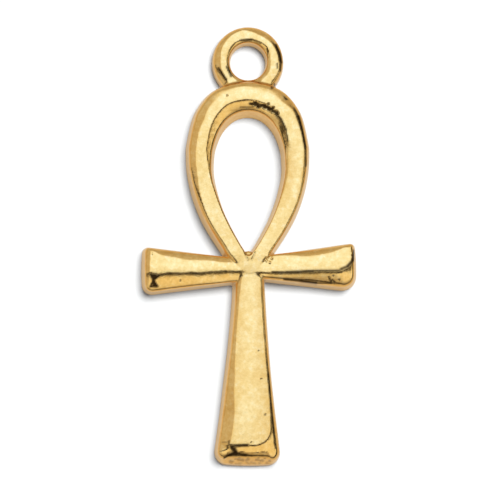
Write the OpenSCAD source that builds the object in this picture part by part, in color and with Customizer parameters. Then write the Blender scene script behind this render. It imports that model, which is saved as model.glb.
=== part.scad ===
// Ankh pendant charm, cast in one piece and plated in bright gold colour.
// It lies on its plain flat back with its front up: X runs along the arms,
// Y runs up the ankh to its hanging eye, Z is the thickness, and Z = 0 is the back.
// All lengths are in millimetres and all angles in degrees.

/* [Whole casting] */
// height of the whole charm, from the top of the eye to the foot
charm_h = 32; // [30:0.5:34]
// thickness of the shaft, from the flat back to the crown of its front
shaft_t = 2.4; // [2:0.05:3]
// thickness of the teardrop loop
loop_t = 2.34; // [2:0.05:3]
// thickness of the two arms
arm_t = 2.3; // [1.9:0.05:2.9]
// width of the steep side wall, seen from the front
wall_w = 0.29; // [0.15:0.01:0.4]
// straight foot of the side wall before it starts to lean in
land_h = 0.14; // [0.05:0.01:0.3]
// drop of the rounded front from the middle of the shaft and arms to the side wall
crown_drop = 0.4; // [0.2:0.01:0.6]
// drop of the loop's rounded front from its middle to the side walls
loop_drop = 0.33; // [0.15:0.01:0.5]

/* [Hanging eye] */
// outside diameter of the round eye
eye_od = 5.25; // [4.8:0.05:5.5]
// diameter of the hole that a jump ring goes through
eye_bore = 2.55; // [2.2:0.05:2.8]
// thickness of the eye, which is rounder and thinner than the rest
eye_t = 1.56; // [1.5:0.02:1.8]
// metal left between the hole and the top edge of the loop
eye_gap = 0.09; // [0.05:0.01:0.3]

/* [Teardrop loop] */
// outside width of the loop where it is widest
loop_w = 9.04; // [8.4:0.02:9.6]
// height from the top of the loop to the middle of the crossing
loop_h = 13.76; // [13:0.02:14.4]

/* [Arms] */
// reach of the left arm from the shaft's middle line to its tip
left_reach = 7.76; // [7:0.02:8.5]
// reach of the right arm from the shaft's middle line to its tip
right_reach = 7.94; // [7:0.02:8.5]
// width of both arms at the crossing
arm_root_w = 1.7; // [1.5:0.02:2.2]
// width of the left arm at its tip
left_tip_w = 3.4; // [2.6:0.02:3.6]
// width of the right arm at its tip
right_tip_w = 3.44; // [2.6:0.02:3.6]
// how late the arms widen towards their tips: 1 is straight sided
arm_flare = 1; // [0.8:0.1:2]
// angle that the left arm sinks towards its tip
left_droop = 0.8; // [0:0.1:2]
// angle that the right arm lifts towards its tip
right_lift = 1.4; // [0:0.1:2]
// radius of the rounded corners at the tips of the arms
tip_round = 0.62; // [0.3:0.02:0.9]
// swell of the tip's end edge beyond its corners
tip_swell = 0.1; // [0:0.01:0.3]
// length of the rounded bevel behind the tip's end wall
tip_bevel = 0.7; // [0.4:0.05:1]

/* [Shaft] */
// width of the shaft where it leaves the crossing
shaft_root_w = 2.16; // [1.9:0.02:2.4]
// width of the shaft at its foot
foot_w = 4.82; // [4:0.02:5.2]
// how late the shaft widens towards its foot: 1 is straight sided
shaft_flare = 1.5; // [0.8:0.1:2]
// radius of the rounded corners of the foot
foot_round = 1.15; // [0.6:0.05:1.5]
// swell of the foot's end edge beyond its corners
foot_swell = 0.16; // [0:0.01:0.3]
// length of the rounded bevel above the foot's end wall
foot_bevel = 1; // [0.6:0.05:1.4]

/* [Hidden] */
gold = [0.86, 0.66, 0.31];
$fn = 64;

// heights on the charm, measured from its middle
eye_y = charm_h / 2 - eye_od / 2;
loop_top_y = eye_y - eye_bore / 2 - eye_gap;
crossing_y = loop_top_y - loop_h;
shaft_len = crossing_y + charm_h / 2;
// the arms differ in reach, so the middle line of the shaft stands a little to one side
axis_x = (left_reach - right_reach) / 2;
// castings run on below the back by different shares of this depth, and one flat cut trims them
trim = shaft_t / 4;

// Rounded front of every bar, from its side wall to its middle. Columns:
// [share of the half width inside the walls, share of the crown's drop]
CROWN = [
    [1.00, 1.00],
    [0.90, 0.66],
    [0.74, 0.36],
    [0.50, 0.13],
    [0.18, 0.00]
];

// Right half of the teardrop, from its top to the point under its opening. Columns:
// [outer edge across, outer edge down, inner edge across, inner edge down],
// across as a share of half the loop's width, down as a share of its height
TEARDROP = [
    [0.000, 0.000, 0.000, 0.192],
    [0.530, 0.042, 0.216, 0.211],
    [0.846, 0.158, 0.396, 0.270],
    [0.984, 0.322, 0.512, 0.358],
    [1.000, 0.414, 0.540, 0.428],
    [0.976, 0.502, 0.538, 0.500],
    [0.906, 0.608, 0.494, 0.574],
    [0.792, 0.712, 0.418, 0.660],
    [0.644, 0.804, 0.294, 0.758],
    [0.476, 0.890, 0.150, 0.846],
    [0.270, 0.985, 0.050, 0.900],
    [0.000, 1.060, 0.000, 0.922]
];

function mix(a, b, t) = a + (b - a) * t;

// Half width inside the side wall, for a bar of this half width
function inside(half) = half - min(wall_w, 0.3 * half);

// Distances from the middle of a bar to each line of its front, from the edge inwards
function lines_in(half) = concat([half, half], [for (row = CROWN) row[0] * inside(half)]);

// Heights of the same lines, for a bar of this thickness with this drop of its crown
function lines_up(t, drop) = concat([-trim, land_h], [for (row = CROWN) t - row[1] * drop]);

// Half width of a flared bar at a share of its length
function flared(root_w, end_w, flare, share) = mix(root_w, end_w, pow(share, flare)) / 2;

// Setback of one line from the end of a bar: nothing on the wall, then along the bevel
function end_in(line, bevel) = line < 2 ? 0 : wall_w + (1 - CROWN[line - 2][0]) * bevel;

// One side of a bar's outline at one of its lines: up the side, round the corner, along the end
function bar_side(length, root_w, end_w, flare, corner, swell, bevel, line, stations, turns) =
    let (
        across = lines_in(end_w / 2)[line],
        setback = end_in(line, bevel),
        radius = min(max(corner - setback, corner / 4), 0.7 * across),
        side_end = length - setback - radius
    )
    concat(
        [for (i = [0 : stations])
            let (y = side_end * i / stations)
            [lines_in(flared(root_w, end_w, flare, y / (length - corner)))[line], y]],
        [for (i = [1 : turns])
            let (a = 84 * i / turns)
            [across - radius * (1 - cos(a)), side_end + radius * sin(a)]],
        [for (i = [1 : 3])
            let (share = 1 - i / 3.5)
            [(across - radius) * share, length - setback + swell * (1 - share * share)]]
    );

// A flared bar with a flat root and a rounded, bevelled end, standing up along Y
module flared_bar(reach, root_w, end_w, flare, corner, swell, bevel, t, depth, stations, turns) {
    length = reach - swell;
    heights = lines_up(t, crown_drop);
    rings = len(heights);
    half_count = stations + turns + 4;
    count = 2 * half_count;
    points = [for (line = [0 : rings - 1])
        let (
            side = bar_side(length, root_w, end_w, flare, corner, swell, bevel, line, stations, turns),
            z = line == 0 ? -trim * depth : heights[line]
        )
        for (k = [0 : count - 1])
            k < half_count
                ? [side[k][0], side[k][1], z]
                : [-side[count - 1 - k][0], side[count - 1 - k][1], z]
    ];
    walls = [for (line = [0 : rings - 2])
        for (k = [0 : count - 1])
            let (
                a = line * count + k,
                b = line * count + (k + 1) % count
            )
            each [[a, b + count, b], [a, a + count, b + count]]
    ];
    top = (rings - 1) * count;
    front = [for (k = [0 : half_count - 2])
        let (
            a = top + k,
            b = top + count - 1 - k
        )
        each [[a, b, b - 1], [a, b - 1, a + 1]]
    ];
    back = [for (k = [0 : half_count - 2])
        each [[k, k + 1, count - 2 - k], [k, count - 2 - k, count - 1 - k]]
    ];
    polyhedron(points = points, faces = concat(walls, front, back), convexity = 4);
}

// Smooth curve through four rows of a table, at share t between the middle two
function glide(a, b, c, d, t) =
    0.5 * (2 * b + (c - a) * t + (2 * a - 5 * b + 4 * c - d) * t * t + (3 * b - a - 3 * c + d) * t * t * t);

// Row of the teardrop table counted on around the whole loop, mirrored on its left half
function drop_row(i) =
    let (
        last = len(TEARDROP) - 1,
        n = (i + 2 * last) % (2 * last),
        row = n <= last ? TEARDROP[n] : TEARDROP[2 * last - n],
        side = n <= last ? 1 : -1
    )
    [side * row[0], row[1], side * row[2], row[3]];

// Sections of the loop, one after another around it: [outer point, inner point]
function drop_sections(steps) =
    [for (i = [0 : 2 * (len(TEARDROP) - 1) - 1])
        for (s = [0 : steps - 1])
            let (row = glide(drop_row(i - 1), drop_row(i), drop_row(i + 1), drop_row(i + 2), s / steps))
            [
                [row[0] * loop_w / 2, loop_top_y - row[1] * loop_h],
                [row[2] * loop_w / 2, loop_top_y - row[3] * loop_h]
            ]
    ];

// The loop as one closed band, swept around its opening
module teardrop_loop(steps = 5) {
    sections = drop_sections(steps);
    heights = lines_up(loop_t, loop_drop);
    rings = len(heights);
    across = 2 * rings;
    points = [for (section = sections)
        let (
            middle = (section[0] + section[1]) / 2,
            flank = (section[0] - section[1]) / 2,
            offsets = lines_in(norm(flank))
        )
        for (k = [0 : across - 1])
            let (
                line = k < rings ? k : across - 1 - k,
                side = k < rings ? 1 : -1,
                place = middle + flank * side * offsets[line] / norm(flank)
            )
            [place[0], place[1], heights[line]]
    ];
    total = len(points);
    faces = [for (i = [0 : len(sections) - 1])
        for (k = [0 : across - 1])
            let (
                a = i * across + k,
                b = i * across + (k + 1) % across,
                c = (b + across) % total,
                d = (a + across) % total
            )
            each [[a, c, b], [a, d, c]]
    ];
    polyhedron(points = points, faces = faces, convexity = 6);
}

// Round eye with a rounded section, flat only inside the hole and around its rim
module hanging_eye() {
    stock_w = (eye_od - eye_bore) / 2;
    translate([0, eye_y, 0])
        rotate_extrude()
            translate([(eye_od + eye_bore) / 4, eye_t / 2])
                intersection() {
                    circle(d = eye_t);
                    square([stock_w, eye_t], center = true);
                }
}

// Straight arm with a flared, rounded tip
module arm(reach, tip_w, depth) {
    flared_bar(reach, arm_root_w, tip_w, arm_flare, tip_round, tip_swell, tip_bevel, arm_t, depth, 12, 6);
}

// Shaft that widens to the foot
module shaft() {
    flared_bar(
        shaft_len, shaft_root_w, foot_w, shaft_flare, foot_round, foot_swell, foot_bevel, shaft_t, 0.8, 18, 7
    );
}

// The whole casting: eye, loop, arms and shaft are one piece of metal
module ankh_casting() {
    color(gold)
        translate([axis_x, 0, 0])
            difference() {
                union() {
                    hanging_eye();
                    teardrop_loop();
                    translate([0, crossing_y, 0]) {
                        rotate([0, 0, 90 + left_droop])
                            arm(left_reach, left_tip_w, 0.6);
                        rotate([0, 0, right_lift - 90])
                            arm(right_reach, right_tip_w, 0.7);
                        rotate([0, 0, 180])
                            shaft();
                    }
                }
                translate([-charm_h / 2, -charm_h, -2 * trim])
                    cube([charm_h, 2 * charm_h, 2 * trim]);
                translate([0, eye_y, -eye_t / 2])
                    cylinder(d = eye_bore, h = 2 * eye_t);
            }
}

ankh_casting();
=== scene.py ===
# %% [markdown]
# # A cast ankh charm in bright gold plate
#
# The real thing is a small charm, cast in one pour of zinc alloy and plated. It has a round
# hanging eye, a teardrop loop, two flared arms and a shaft that widens to its foot.
# This lesson shapes the whole charm as one piece of metal, gives it a gold finish, and lays
# it on a white table under a light tent. The measured model comes first: it fixes the outer
# size.

import math

import bpy
import numpy as np
from mathutils import Matrix, Vector


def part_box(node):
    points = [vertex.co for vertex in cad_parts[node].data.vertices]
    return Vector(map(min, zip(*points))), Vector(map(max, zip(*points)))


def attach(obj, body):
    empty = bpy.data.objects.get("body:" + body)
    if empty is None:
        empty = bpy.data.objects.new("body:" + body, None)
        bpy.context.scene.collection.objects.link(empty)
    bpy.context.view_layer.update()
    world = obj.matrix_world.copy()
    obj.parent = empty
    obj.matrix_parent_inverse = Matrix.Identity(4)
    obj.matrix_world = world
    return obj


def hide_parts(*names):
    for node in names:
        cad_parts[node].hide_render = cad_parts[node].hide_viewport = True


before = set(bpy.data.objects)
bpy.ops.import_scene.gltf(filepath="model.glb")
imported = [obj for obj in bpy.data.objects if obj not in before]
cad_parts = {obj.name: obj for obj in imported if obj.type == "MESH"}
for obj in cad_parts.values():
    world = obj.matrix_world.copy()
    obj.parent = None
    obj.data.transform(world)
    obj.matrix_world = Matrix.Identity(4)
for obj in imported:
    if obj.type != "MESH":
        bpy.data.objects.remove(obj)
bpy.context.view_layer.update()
casting_low, casting_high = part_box("ankh_casting")
MM = 0.001
size_mm = [(high - low) / MM for low, high in zip(casting_low, casting_high)]
print("the charm measures", [round(s, 2) for s in size_mm], "mm")

# %% [markdown]
# ## The sizes of the charm
#
# The model gives the outer box. What lies inside the box, such as where the loop ends and the
# arms begin, is written here once, in millimetres, so that each later step can speak of
# "the crossing" or "the foot" instead of bare numbers. In the names, `h` is a height, `w` a
# width, `t` a thickness, `od` an outer diameter, and a `reach` goes from the middle to a tip.
# A `lean` is the angle between a side wall and the table, in degrees.

# %% Name the sizes
charm_h = size_mm[1]
shaft_t, loop_t, arm_t, eye_t = size_mm[2], 2.34, 2.30, 1.56
wall_w = 0.20
eye_od, eye_bore, eye_gap = 5.25, 2.55, 0.09
loop_w, loop_h = 9.04, 13.76
left_reach, right_reach = 7.76, 7.94
loop_lean, eye_lean, throat_lean = 84, 86, 88

axis_x = (left_reach - right_reach) / 2
eye_y = charm_h / 2 - eye_od / 2
loop_top_y = eye_y - eye_bore / 2 - eye_gap
crossing_y = loop_top_y - loop_h
shaft_len = crossing_y + charm_h / 2
print("eye at", round(eye_y, 2), "crossing at", round(crossing_y, 2), "shaft", round(shaft_len, 2))

# %% [markdown]
# ## Shaping metal with a field
#
# A casting has no seams: where the arm meets the shaft the metal runs together in a small
# hollow. Joining separate meshes would leave hard lines there, and rounding such a line
# afterwards is fiddly. So the charm is described by a *field* instead: a number for every
# point in space that is below zero inside the metal. Two fields join softly with
# `soft_min`, and cut each other softly with `soft_max`. The third value says how wide the
# rounding is. `soft_abs` is a distance from a middle line without a sharp turn on that line.

# %% Join and cut softly
def soft_min(a, b, width):
    near = np.maximum(width - np.abs(a - b), 0) / width
    return np.minimum(a, b) - near**3 * width / 6


def soft_max(a, b, width):
    return -soft_min(-a, -b, width)


def soft_abs(x):
    return np.sqrt(x**2 + 1e-6)


print("two equal fields joined over 0.3 mm gain", round(-float(soft_min(0.0, 0.0, 0.3)), 3), "mm")

# %% [markdown]
# ## Hand-made unevenness
#
# The pattern for such a charm is filed and polished by hand, so no edge is quite straight.
# Noise on a mesh could do that, but fine noise breaks up a mirror finish. A few long sine
# waves in seeded random directions are enough, and reflections only bend in them.

# %% Waves of a polished surface
def ripple(x, y, length, seed, waves=6):
    chance = np.random.default_rng(seed)
    total = 0
    for _ in range(waves):
        turn, start = chance.uniform(0, 2 * math.pi, 2)
        wave = length * chance.uniform(0.7, 1.5)
        total = total + np.sin(2 * math.pi * (x * math.cos(turn) + y * math.sin(turn)) / wave + start)
    return total / waves


print("ripple at the crossing:", round(float(ripple(0.0, crossing_y, 2.0, 5)), 3))

# %% [markdown]
# ## The section that every bar shares
#
# Cut across anywhere, the charm shows the same kind of section: a flat back, a steep side
# wall, a rounded shoulder, and a front of flat facets that meet in soft creases. A mirror
# finish makes each crease visible as a line, so the facets are listed like a file maker
# would cut them: where a facet starts, how far it tilts, and how soft its crease is.

# %% Facets across a bar
def soft_ramp(x, softness):
    return (x + np.sqrt(x**2 + softness**2)) / 2


def facet_fall(share, inside, facets):
    fall = 0
    for start, added_tilt, crease in facets:
        ramp = soft_ramp(share - start, crease) - soft_ramp(-start, crease)
        fall = fall + np.tan(np.radians(added_tilt)) * ramp * inside
    return fall


print("a 20 degree facet over 0.5 mm falls", round(float(facet_fall(1.0, 0.5, [(0.0, 20, 0.01)])), 2), "mm")

# %% [markdown]
# ## Wall, shoulder and front
#
# The side wall leans in a little, as it must to leave its mould. `rim` is how far a place
# lies inside the outline, and the front is a height above the flat back. The wall and the
# front cut each other softly, and the width of that soft cut is the shoulder.

# %% Put the section together
def bar_metal(z, rim, front_height, wall_lean, shoulder):
    lean = math.radians(wall_lean)
    wall = z * math.cos(lean) - rim * math.sin(lean)
    return soft_max(wall, z - front_height, shoulder)


print("a wall at 85 degrees leans in", round(shaft_t / math.tan(math.radians(85)), 2), "mm")

# %% [markdown]
# ## Turning a facet round a corner
#
# At the foot and at the tips of the arms, the last facet of the side meets the bevel of the
# end. On some corners the file stopped sharply, on others it was swung round in a wide curve.
# `past_corner` gives the distance past such a corner line, for any radius.

# %% Past a rounded corner
def past_corner(past_side, past_end, radius):
    over_side, over_end = past_side + radius, past_end + radius
    outside = np.hypot(np.maximum(over_side, 0), np.maximum(over_end, 0))
    return outside + np.minimum(np.maximum(over_side, over_end), 0) - radius


def share_of_end(over_side, over_end):
    return over_end**2 / (over_side**2 + over_end**2 + 1e-4)


print("diagonally past a sharp corner:", round(float(past_corner(1.0, 1.0, 0.0)), 2))

# %% [markdown]
# ## The shaft and the arms
#
# Both are the same kind of bar: narrow at the crossing, wider at the end, with rounded corners
# and a bevel over the end. Three meshes could be bevelled by hand, but only the sizes differ,
# so one function makes all three from a small record. The two slopes of the front have their
# own part of it: `first` is on the right hand of someone walking from the crossing to the
# end, `second` on the left hand. Lengths are in millimetres and angles in degrees:
#
# - `root` and `heading`: where the bar starts on the crossing and which way it points
# - `reach` and `tail`: its length, and how far it goes on behind the crossing
# - `root_w`, `end_w`, `flare`: the two widths, and how late the bar widens between them
# - `swell`: how far the end bulges out
# - `t`, `thin_root`: the thickness, and how much of it is missing at the crossing
# - `wall_lean`, `root_steeper`: the side wall's angle, and how much steeper it is at the root
# - `end_wall`, `end_kink`: how far the end's wall leans in, and how much of that belongs to
#   its steep lower part
# - `bevel`, `end_tilt`, `end_crease`: the bevel over the end, its tilt and its soft crease
# - `line_at`, `line`: places along the bar, and how far from the middle the last crease of
#   the slope runs there, because the file never ran quite straight
# - `facets`: the facets before that crease
# - `tilt`, `crease`, `radius`: the facet beyond it, and how wide it turns into the bevel
# - `late`: how far before the end that facet changes its tilt, and the tilt it changes to
# - `then`: a further step outside it, as distance, more tilt and softness
# - `corner`, `steeper`, `shoulder`: the outline's corner radius, how many times steeper the
#   side wall is, and how wide its top is rounded

# %% A place on a bar
def along_and_across(x, y, size):
    turn = math.radians(size["heading"])
    east, north = x - size["root"][0], y - size["root"][1]
    along = east * math.cos(turn) + north * math.sin(turn)
    across = north * math.cos(turn) - east * math.sin(turn)
    return along, across + size["wander"] * ripple(along, 0 * along, 5.0, size["seed"])


def by_hand(size, name, second):
    return size["first"][name] + (size["second"][name] - size["first"][name]) * second


heads_south = dict(root=(0, 0), heading=-90, wander=0, seed=0)
one_east = along_and_across(1.0, 0.0, heads_south)[1]
print("on a bar that heads south, 1 mm east is", round(float(one_east), 2), "mm across")

# %% One slope of the front
late_length = 0.35


def slope_beside(size, hand, along, from_middle, inside, past_end):
    soft_fall = facet_fall(from_middle / inside, inside, hand["facets"])
    line = np.interp(along, size["line_at"], hand["line"])
    line = line + hand["wander"] * ripple(along, 0 * along, 1.6, hand["seed"])
    past_side = from_middle - line
    radius = hand["radius"]
    round_end = share_of_end(np.maximum(past_side + radius, 0), np.maximum(past_end + radius, 0))
    late_from, late_tilt = hand.get("late", (0.0, hand["tilt"]))
    late = np.clip((along - size["reach"] + late_from) / late_length, 0, 1)
    side_tilt = hand["tilt"] + (late_tilt - hand["tilt"]) * late
    tilt = side_tilt + (size["end_tilt"] - side_tilt) * round_end
    crease = hand["crease"] + (size["end_crease"] - hand["crease"]) * round_end
    past_line = past_corner(past_side, past_end, radius)
    last_fall = np.tan(np.radians(tilt)) * soft_ramp(past_line, crease)
    gap, more_tilt, more_crease = hand.get("then", (0.0, 0.0, 1.0))
    more = np.tan(np.radians(more_tilt * (1 - late) * (1 - round_end)))
    return soft_fall, last_fall + more * soft_ramp(past_line - gap, more_crease)


print("the last facet changes its tilt over", late_length, "mm")

# %% The outline of a bar and the height of its front
full_end, middle_w, end_shoulder = 0.9, 0.3, 0.26


def bar_rim(side, end, part, second, size):
    corner = by_hand(size, "corner", second)
    in_side, in_end = np.maximum(corner - side, 0), np.maximum(corner - end, 0)
    toward_end = share_of_end(in_side, in_end)
    rim = corner - np.hypot(in_side, in_end) + np.maximum(np.minimum(side, end) - corner, 0)
    steeper = by_hand(size, "steeper", second) * (1 + size["root_steeper"] * np.clip(1 - 1.6 * part, 0, 1))
    kink = size["end_kink"]
    sloped = kink + (rim - kink) * (wall_w - kink) / (size["end_wall"] - kink)
    return rim * steeper + (soft_min(rim, sloped, 0.04) - rim * steeper) * toward_end, toward_end


def bar_front(along, across, half, end, part, size):
    inside = np.maximum(half - wall_w, 0.15)
    past_end = size["bevel"] + size["end_wall"] - end
    first_fall, first_last = slope_beside(size, size["first"], along, -across, inside, past_end)
    second_fall, second_last = slope_beside(size, size["second"], along, across, inside, past_end)
    thin = size["thin_root"] * np.clip(1 - part, 0, 1) ** 1.5
    uneven = 0.004 * ripple(along, across, 1.5, size["seed"] + 2)
    return size["t"] - thin - first_fall - second_fall - np.maximum(first_last, second_last) + uneven


print("a bar reaches its end width", full_end, "mm before its end")

# %% A flared bar
def flared_bar(x, y, z, size):
    along, across = along_and_across(x, y, size)
    part = np.clip(along / (size["reach"] - full_end), 0, 1.1)
    behind = np.clip(-along / size["tail"], 0, 2)
    half = (size["root_w"] + (size["end_w"] - size["root_w"]) * part ** size["flare"]) / 2
    half = half * (1 - 0.5 * np.minimum(behind, 1)) + 0.010 * ripple(along, across, 2.6, size["seed"] + 1)
    side = half - soft_abs(across)
    swell = size["swell"] * (1 - np.minimum(across / half, 1) ** 2)
    end = size["reach"] - size["swell"] + swell - along
    second = 0.5 + 0.5 * np.tanh(across / middle_w)
    rim, toward_end = bar_rim(side, end, part, second, size)
    rim = soft_min(rim, along + size["tail"], 0.3)
    height = bar_front(along, across, half, end, part, size) - 0.25 * behind**2
    shoulder = by_hand(size, "shoulder", second)
    shoulder = shoulder + (end_shoulder - shoulder) * toward_end
    return bar_metal(z, rim, height, size["wall_lean"], shoulder)


print("the shoulder over a bar's end is", end_shoulder, "mm wide")

# %% [markdown]
# ## The shaft
#
# The shaft is the longest bar. On its left slope a crease runs down to the foot, well inside
# the edge. The right slope is softer and breaks only close to its edge. The bevel over the
# foot is the widest of the charm, and below it the end's wall is steep in its lower part and
# leans back above.

# %% The shaft
shaft = dict(
    root=(axis_x + 0.09, crossing_y), heading=-90.55, reach=shaft_len, tail=1.2,
    root_w=2.30, end_w=4.84, flare=1.45, swell=0.16, t=shaft_t - 0.01, thin_root=0.09,
    wall_lean=84, root_steeper=0.0, end_wall=0.50, end_kink=0.09,
    bevel=0.93, end_tilt=11.5, end_crease=0.08, wander=0.01, seed=11,
    line_at=[0.5, 1.6, 2.3, 3.4, 4.5, 5.6, 6.7, 7.8, 8.9, 9.6, 10.4, 11.5, 12.6, 13.0, 13.5, 13.9],
    first=dict(
        line=[0.58, 0.67, 0.81, 0.90, 0.97, 0.99, 1.01, 1.0, 1.05, 1.03, 0.98, 1.09, 1.27, 1.35, 1.75, 2.0],
        facets=[(0.0, 3, 0.5), (0.30, 5, 0.25)], tilt=12, crease=0.05, radius=0.10, late=(1.35, 5),
        wander=0.025, seed=61, corner=1.0, steeper=1.0, shoulder=0.40,
    ),
    second=dict(
        line=[1.62] * 16,
        facets=[(0.0, 3, 0.5), (0.35, 6, 0.25), (0.85, 3, 0.10)], tilt=10, crease=0.06, radius=1.15,
        wander=0.01, seed=62, corner=1.0, steeper=1.6, shoulder=0.50,
    ),
)
print("the shaft is", shaft["end_w"], "mm wide at its foot")

# %% [markdown]
# ## The arms
#
# The arms mirror each other at a glance, and not on a closer look: the left one hangs a hair
# lower and has a short bevel at its tip, and on the right one the lower facet swings round the
# tip in a wide curve. The right arm starts as a copy of the left arm's record, and only what
# differs is written again.

# %% The arms
left_arm = dict(
    root=(axis_x, crossing_y - 0.085), heading=180.1, reach=left_reach, tail=0.9,
    root_w=1.72, end_w=3.42, flare=1.0, swell=0.10, t=arm_t, thin_root=0.0,
    wall_lean=85, root_steeper=0.6, end_wall=0.30, end_kink=0.0,
    bevel=0.33, end_tilt=20, end_crease=0.06, wander=0.0, seed=21,
    line_at=[0.8, 1.7, 3.2, 4.3, 5.7, 6.5, 7.0, 7.4],
    first=dict(
        line=[0.45, 0.51, 0.64, 0.66, 0.92, 1.10, 1.5, 1.7],
        facets=[(0.0, 1, 0.1), (0.25, 8, 0.2)], tilt=12, crease=0.05, radius=0.10,
        wander=0.03, seed=63, corner=0.50, steeper=1.0, shoulder=0.34,
    ),
    second=dict(
        line=[0.12, 0.15, 0.22, 0.25, 0.25, 0.36, 0.30, 0.30],
        facets=[(0.70, 6, 0.3)], tilt=10, crease=0.22, radius=0.15, late=(1, 11),
        wander=0.04, seed=64, corner=0.80, steeper=1.3, shoulder=0.28,
    ),
)
right_arm = dict(
    left_arm, root=(axis_x, crossing_y + 0.065), heading=1.0, reach=right_reach,
    root_w=1.60, root_steeper=1.2, bevel=0.05, end_tilt=17, end_crease=0.22, seed=31,
    line_at=[1.0, 1.95, 3.0, 3.8, 4.9, 6.0, 6.7, 7.2],
    first=dict(
        line=[0.34, 0.42, 0.42, 0.38, 0.35, 0.38, 0.37, 0.37],
        facets=[(0.60, 1, 0.2)], tilt=7.5, crease=0.10, radius=1.10, late=(1.3, 11), then=(0.26, 10, 0.14),
        wander=0.04, seed=65, corner=1.15, steeper=0.9, shoulder=0.46,
    ),
    second=dict(
        line=[0.95, 0.95, 0.81, 0.73, 0.78, 0.97, 1.25, 1.7],
        facets=[(0.0, 1, 0.1), (0.25, 8, 0.2)], tilt=12, crease=0.05, radius=0.30,
        wander=0.03, seed=66, corner=0.42, steeper=1.0, shoulder=0.34,
    ),
)
print("the arms reach", left_arm["reach"], "and", right_arm["reach"], "mm")

# %% [markdown]
# ## The outlines of the loop
#
# The teardrop has two outlines, the outer edge and the edge of its opening. A Bezier curve
# could draw them, and a smooth curve through a dozen listed places is quicker to adjust.
# The places are shares of the loop's half width and height, and the curve is mirrored, so
# that both sides match.

# %% Draw the two outlines
TEARDROP = np.array([
    # outer across, outer down, inner across, inner down
    [0.000, 0.000, 0.000, 0.192],
    [0.530, 0.042, 0.216, 0.211],
    [0.846, 0.158, 0.396, 0.270],
    [0.984, 0.322, 0.512, 0.358],
    [1.000, 0.414, 0.540, 0.428],
    [0.976, 0.502, 0.538, 0.500],
    [0.906, 0.608, 0.494, 0.574],
    [0.792, 0.712, 0.418, 0.660],
    [0.644, 0.804, 0.294, 0.758],
    [0.476, 0.890, 0.150, 0.846],
    [0.270, 0.985, 0.050, 0.900],
    [0.000, 1.060, 0.000, 0.922],
])


def smooth_outline(across, down, steps=32):
    right = np.stack([axis_x + across * loop_w / 2, loop_top_y - down * loop_h], 1)
    left = np.stack([axis_x - across * loop_w / 2, loop_top_y - down * loop_h], 1)[-2:0:-1]
    places = np.concatenate([right, left])
    t = np.linspace(0, 1, steps, endpoint=False)[None, :, None]
    a, b, c, d = [np.roll(places, shift, 0)[:, None, :] for shift in (1, 0, -1, -2)]
    curve = 2 * b + (c - a) * t + (2 * a - 5 * b + 4 * c - d) * t**2 + (3 * b - a - 3 * c + d) * t**3
    return (curve / 2).reshape(-1, 2)


outer_edge = smooth_outline(TEARDROP[:, 0], TEARDROP[:, 1])
inner_edge = smooth_outline(TEARDROP[:, 2], TEARDROP[:, 3])
print("the opening is", round(float(np.ptp(inner_edge[:, 1])), 2), "mm tall")

# %% [markdown]
# ## How far is it to an outline?
#
# The loop's section needs the distance from any point to both outlines. A first look at
# every eighth point of the curve finds the neighbourhood, and a second look at the short
# pieces there gives the exact distance. The sign says on which side the point lies.

# %% Distance to a closed curve
def distance_inside(x, y, curve, every=8, batch=20000):
    shape = np.broadcast(x, y).shape
    place = np.stack([np.broadcast_to(x, shape).ravel(), np.broadcast_to(y, shape).ravel()], 1)
    result = np.empty(len(place))
    rough = curve[::every]
    for start in range(0, len(place), batch):
        p = place[start:start + batch]
        gap = (p[:, None, 0] - rough[None, :, 0]) ** 2 + (p[:, None, 1] - rough[None, :, 1]) ** 2
        span = ((gap.argmin(1) * every)[:, None] + np.arange(-every, every)[None, :]) % len(curve)
        a = curve[span]
        step = curve[(span + 1) % len(curve)] - a
        t = np.clip(((p[:, None, :] - a) * step).sum(2) / (step**2).sum(2), 0, 1)
        away = p[:, None, :] - (a + t[..., None] * step)
        far = (away**2).sum(2)
        best = far.argmin(1)
        row = np.arange(len(p))
        side = step[row, best, 0] * away[row, best, 1] - step[row, best, 1] * away[row, best, 0]
        result[start:start + batch] = np.sqrt(far[row, best]) * np.where(side < 0, 1, -1)
    return result.reshape(shape)


middle_of_opening = distance_inside(np.array([axis_x]), np.array([loop_top_y - 0.45 * loop_h]), inner_edge)
print("half the opening's width:", round(float(middle_of_opening[0]), 2), "mm")

# %% [markdown]
# ## The creases of the loop
#
# Between its two outlines the band is highest in the middle. The hand that filed the pattern
# let the creases wander: the outer one starts wide at the top and narrows on the sides, and
# the inner one fades out low on the loop. The tables give, for a few heights on each side,
# where each crease runs, as a share of the way from the middle of the band to its edge.

# %% Where the creases run
CREASES_LEFT = np.array([
    # down the loop; outer crease, its soft tilt, its last tilt; the same for the inner one
    [0.00, 0.75, 5, 20, 0.11, 0, 11],
    [0.06, 0.65, 5, 20, 0.10, 0, 11],
    [0.11, 0.48, 5, 20, 0.12, 0, 12],
    [0.14, 0.47, 5, 20, 0.15, 0, 15],
    [0.17, 0.45, 5, 20, 0.18, 0, 17.5],
    [0.21, 0.38, 5, 20, 0.23, 0, 19],
    [0.25, 0.42, 5, 20, 0.26, 0, 20],
    [0.29, 0.45, 5, 20, 0.28, 0, 20.5],
    [0.37, 0.40, 5, 20, 0.42, 0, 20.5],
    [0.53, 0.39, 3, 20, 0.82, 0, 20],
    [0.66, 0.57, 0, 20, 0.92, 0, 20],
    [0.78, 0.72, 0, 20, 1.00, 0, 20],
    [0.88, 0.60, 0, 20, 1.05, 0, 20],
    [0.95, 0.70, 0, 20, 1.10, 0, 20],
    [1.02, 1.20, 0, 20, 1.20, 0, 20],
])
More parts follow.
